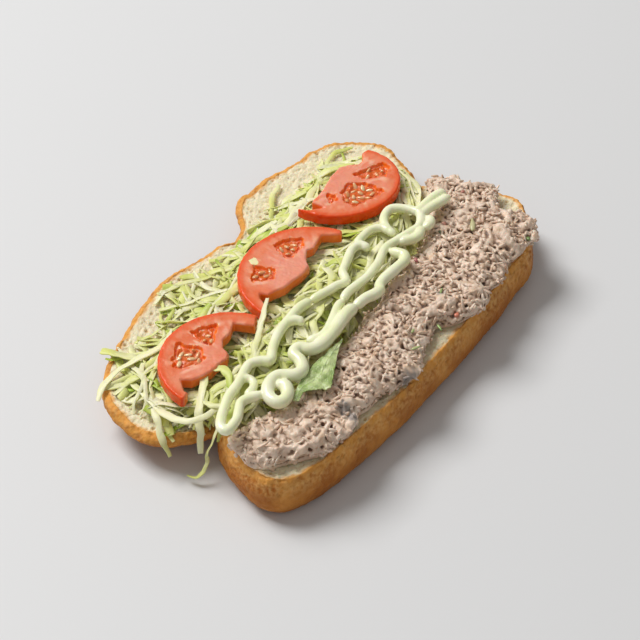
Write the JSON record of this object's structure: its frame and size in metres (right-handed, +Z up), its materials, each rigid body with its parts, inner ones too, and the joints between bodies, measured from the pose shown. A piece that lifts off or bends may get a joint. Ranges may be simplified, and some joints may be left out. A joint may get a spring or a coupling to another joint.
{
  "type": "submarine sandwich",
  "caption": "Opened submarine sandwich: tuna salad, shredded lettuce, tomato slices and piped mayonnaise on a split long roll, lying flat.",
  "frame": {"origin": "on the surface the sandwich lies on, under the middle of its box", "axes": "+X along the roll, from the end nearest the viewer to the far end; +Y from the half with the tuna to the half with the tomato; +Z up"},
  "size_m": [0.2644, 0.1667, 0.0451],
  "materials": {
    "bread": "baked crust and open crumb",
    "tuna": "moist flaked fish",
    "lettuce": "crisp leaf",
    "tomato": "wet cut flesh and glossy skin",
    "mayonnaise": "smooth and glossy",
    "leaf": "veined leaf"
  },
  "bodies": {
    "root": {"bread_roll": "bread", "tuna_salad": "tuna", "shredded_lettuce": "lettuce", "tomato_slice_1": "tomato", "tomato_slice_2": "tomato", "tomato_slice_3": "tomato", "mayonnaise": "mayonnaise", "lettuce_leaf": "leaf"}
  },
  "joints": []
}
